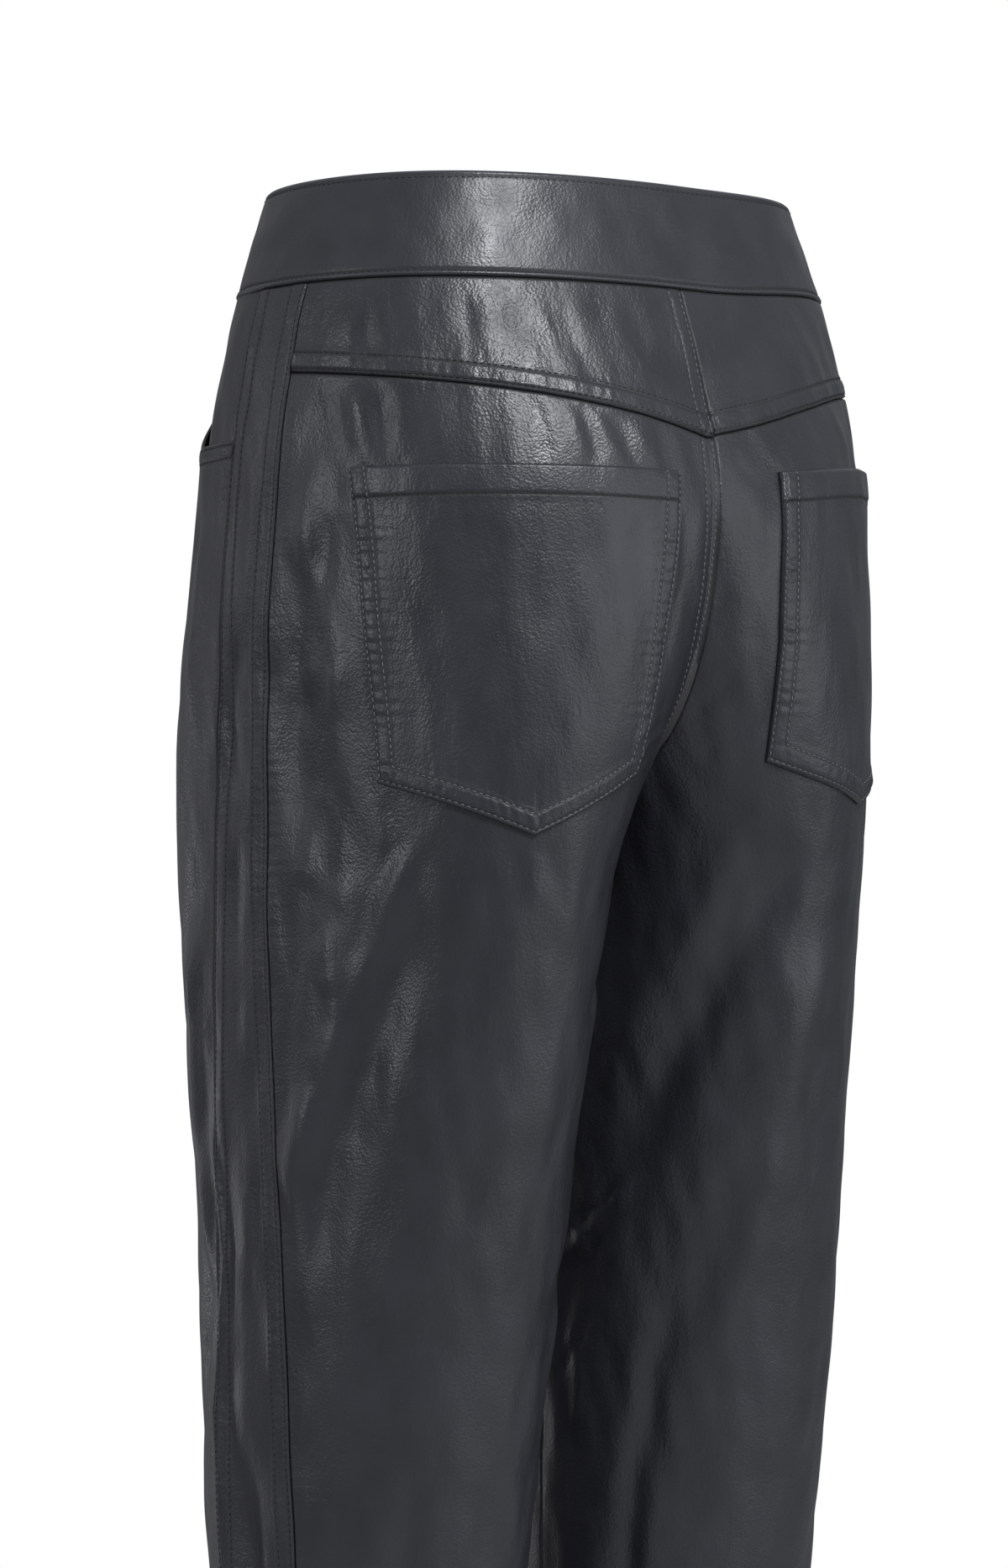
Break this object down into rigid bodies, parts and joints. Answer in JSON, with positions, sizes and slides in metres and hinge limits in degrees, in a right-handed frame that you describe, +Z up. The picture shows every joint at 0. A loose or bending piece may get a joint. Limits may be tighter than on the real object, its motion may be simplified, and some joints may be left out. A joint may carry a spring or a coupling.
{
  "type": "leather trousers",
  "caption": "High-waisted leather trousers with a V back yoke, side strips, pointed patch pockets and straight tapered legs, filled out as worn.",
  "frame": {"origin": "middle of the waist opening, level with the top edge of the waistband", "axes": "+X to the wearer's left, +Y to the back, +Z up along the legs"},
  "size_m": [0.3246, 0.2505, 1.003],
  "materials": {
    "body_leather": "fine-grained charcoal nappa with a satin gloss",
    "trim_leather": "the same charcoal nappa, doubled and edge-stitched",
    "inside_leather": "matt flesh side of the leather",
    "dark_metal": "dark gunmetal plating, satin"
  },
  "bodies": {
    "root": {"waistband": "trim_leather", "waist_button": "dark_metal", "fly_zip": "dark_metal", "fly_shield": "inside_leather", "yoke_left": "body_leather", "back_panel_left": "body_leather", "back_pocket_left": "trim_leather", "side_panel_left": "body_leather", "front_panel_left": "body_leather", "front_pocket_facing_left": "body_leather", "yoke_right": "body_leather", "back_panel_right": "body_leather", "back_pocket_right": "trim_leather", "side_panel_right": "body_leather", "front_panel_right": "body_leather", "front_pocket_facing_right": "body_leather"}
  },
  "joints": []
}
